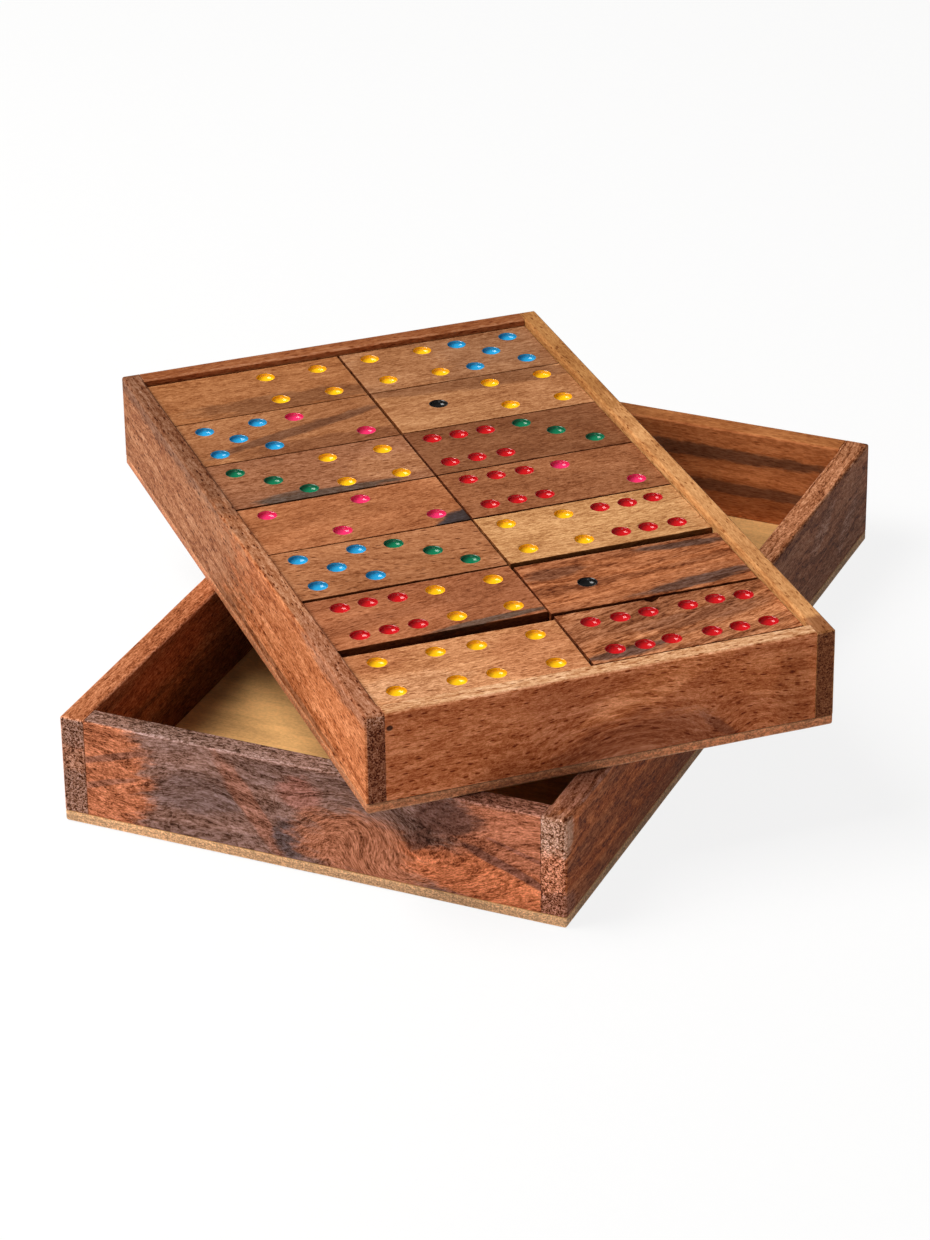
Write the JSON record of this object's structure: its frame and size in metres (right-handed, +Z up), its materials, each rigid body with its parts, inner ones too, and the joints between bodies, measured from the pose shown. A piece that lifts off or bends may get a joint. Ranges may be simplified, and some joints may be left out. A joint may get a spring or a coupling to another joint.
{
  "type": "domino storage box",
  "caption": "Wooden tray of dominoes with painted pips, lying turned across the open rim of its deep telescoping wooden cover.",
  "frame": {"origin": "centre of the underside of the cover's panel, which the box rests on", "axes": "+Z up out of the cover's open side, +Y along the cover's long side towards its back wall, +X towards its right wall"},
  "size_m": [0.2014, 0.2097, 0.05],
  "materials": {
    "heartwood": "satin oil",
    "redwood": "satin oil",
    "sidewood": "satin oil",
    "sapwood": "satin oil",
    "plywood": "bare, sanded",
    "black_enamel": "gloss enamel",
    "pink_enamel": "gloss enamel",
    "green_enamel": "gloss enamel",
    "yellow_enamel": "gloss enamel",
    "blue_enamel": "gloss enamel",
    "red_enamel": "gloss enamel"
  },
  "bodies": {
    "cover": {"cover_panel": "plywood", "cover_left_wall": "sidewood", "cover_right_wall": "heartwood", "cover_front_wall": "heartwood", "cover_back_wall": "redwood"},
    "tray": {"tray_floor": "plywood", "tray_left_wall": "sidewood", "tray_right_wall": "sapwood", "tray_front_wall": "sapwood", "tray_back_wall": "redwood"},
    "domino_0_2": {"domino_0_2": "sidewood"},
    "domino_0_3": {"domino_0_3": "sapwood"},
    "domino_0_5": {"domino_0_5": "redwood"},
    "domino_0_6": {"domino_0_6": "sidewood"},
    "domino_1_1": {"domino_1_1": "redwood"},
    "domino_1_2": {"domino_1_2": "heartwood"},
    "domino_1_3": {"domino_1_3": "sidewood"},
    "domino_1_5": {"domino_1_5": "sidewood"},
    "domino_1_6": {"domino_1_6": "sidewood"},
    "domino_2_3": {"domino_2_3": "heartwood"},
    "domino_2_4": {"domino_2_4": "redwood"},
    "domino_3_3": {"domino_3_3": "sapwood"},
    "domino_5_5": {"domino_5_5": "redwood"},
    "domino_5_6": {"domino_5_6": "heartwood"},
    "domino_0_4": {"domino_0_4": "sidewood"},
    "domino_5_2": {"domino_5_2": "sapwood"},
    "domino_3_4": {"domino_3_4": "redwood"},
    "domino_2_2": {"domino_2_2": "sidewood"},
    "domino_5_3": {"domino_5_3": "redwood"},
    "domino_6_4": {"domino_6_4": "heartwood"},
    "domino_4_4": {"domino_4_4": "sidewood"},
    "domino_4_5": {"domino_4_5": "sidewood"},
    "domino_1_4": {"domino_1_4": "sidewood"},
    "domino_6_3": {"domino_6_3": "heartwood"},
    "domino_6_2": {"domino_6_2": "redwood"},
    "domino_4_6": {"domino_4_6": "sapwood"},
    "domino_1_0": {"domino_1_0": "redwood"},
    "domino_6_6": {"domino_6_6": "heartwood"}
  },
  "joints": [
    {"name": "tray_lift", "type": "slide", "parent": "cover", "child": "tray", "axis": [0, 0, 1], "range_m": [0, 0.06]},
    {"name": "domino_0_2_lift", "type": "slide", "parent": "tray", "child": "domino_0_2", "axis": [0, 0, 1], "range_m": [0, 0.03]},
    {"name": "domino_0_3_lift", "type": "slide", "parent": "tray", "child": "domino_0_3", "axis": [0, 0, 1], "range_m": [0, 0.03]},
    {"name": "domino_0_5_lift", "type": "slide", "parent": "tray", "child": "domino_0_5", "axis": [0, 0, 1], "range_m": [0, 0.03]},
    {"name": "domino_0_6_lift", "type": "slide", "parent": "tray", "child": "domino_0_6", "axis": [0, 0, 1], "range_m": [0, 0.03]},
    {"name": "domino_1_1_lift", "type": "slide", "parent": "tray", "child": "domino_1_1", "axis": [0, 0, 1], "range_m": [0, 0.03]},
    {"name": "domino_1_2_lift", "type": "slide", "parent": "tray", "child": "domino_1_2", "axis": [0, 0, 1], "range_m": [0, 0.03]},
    {"name": "domino_1_3_lift", "type": "slide", "parent": "tray", "child": "domino_1_3", "axis": [0, 0, 1], "range_m": [0, 0.03]},
    {"name": "domino_1_5_lift", "type": "slide", "parent": "tray", "child": "domino_1_5", "axis": [0, 0, 1], "range_m": [0, 0.03]},
    {"name": "domino_1_6_lift", "type": "slide", "parent": "tray", "child": "domino_1_6", "axis": [0, 0, 1], "range_m": [0, 0.03]},
    {"name": "domino_2_3_lift", "type": "slide", "parent": "tray", "child": "domino_2_3", "axis": [0, 0, 1], "range_m": [0, 0.03]},
    {"name": "domino_2_4_lift", "type": "slide", "parent": "tray", "child": "domino_2_4", "axis": [0, 0, 1], "range_m": [0, 0.03]},
    {"name": "domino_3_3_lift", "type": "slide", "parent": "tray", "child": "domino_3_3", "axis": [0, 0, 1], "range_m": [0, 0.03]},
    {"name": "domino_5_5_lift", "type": "slide", "parent": "tray", "child": "domino_5_5", "axis": [0, 0, 1], "range_m": [0, 0.03]},
    {"name": "domino_5_6_lift", "type": "slide", "parent": "tray", "child": "domino_5_6", "axis": [0, 0, 1], "range_m": [0, 0.03]},
    {"name": "domino_0_4_lift", "type": "slide", "parent": "domino_0_2", "child": "domino_0_4", "axis": [0, 0, 1], "range_m": [0, 0.02]},
    {"name": "domino_5_2_lift", "type": "slide", "parent": "domino_0_3", "child": "domino_5_2", "axis": [0, 0, 1], "range_m": [0, 0.02]},
    {"name": "domino_3_4_lift", "type": "slide", "parent": "domino_0_5", "child": "domino_3_4", "axis": [0, 0, 1], "range_m": [0, 0.02]},
    {"name": "domino_2_2_lift", "type": "slide", "parent": "domino_0_6", "child": "domino_2_2", "axis": [0, 0, 1], "range_m": [0, 0.02]},
    {"name": "domino_5_3_lift", "type": "slide", "parent": "domino_1_1", "child": "domino_5_3", "axis": [0, 0, 1], "range_m": [0, 0.02]},
    {"name": "domino_6_4_lift", "type": "slide", "parent": "domino_1_2", "child": "domino_6_4", "axis": [0, 0, 1], "range_m": [0, 0.02]},
    {"name": "domino_4_4_lift", "type": "slide", "parent": "domino_1_3", "child": "domino_4_4", "axis": [0, 0, 1], "range_m": [0, 0.02]},
    {"name": "domino_4_5_lift", "type": "slide", "parent": "domino_1_5", "child": "domino_4_5", "axis": [0, 0, 1], "range_m": [0, 0.02]},
    {"name": "domino_1_4_lift", "type": "slide", "parent": "domino_1_6", "child": "domino_1_4", "axis": [0, 0, 1], "range_m": [0, 0.02]},
    {"name": "domino_6_3_lift", "type": "slide", "parent": "domino_2_3", "child": "domino_6_3", "axis": [0, 0, 1], "range_m": [0, 0.02]},
    {"name": "domino_6_2_lift", "type": "slide", "parent": "domino_2_4", "child": "domino_6_2", "axis": [0, 0, 1], "range_m": [0, 0.02]},
    {"name": "domino_4_6_lift", "type": "slide", "parent": "domino_3_3", "child": "domino_4_6", "axis": [0, 0, 1], "range_m": [0, 0.02]},
    {"name": "domino_1_0_lift", "type": "slide", "parent": "domino_5_5", "child": "domino_1_0", "axis": [0, 0, 1], "range_m": [0, 0.02]},
    {"name": "domino_6_6_lift", "type": "slide", "parent": "domino_5_6", "child": "domino_6_6", "axis": [0, 0, 1], "range_m": [0, 0.02]}
  ]
}
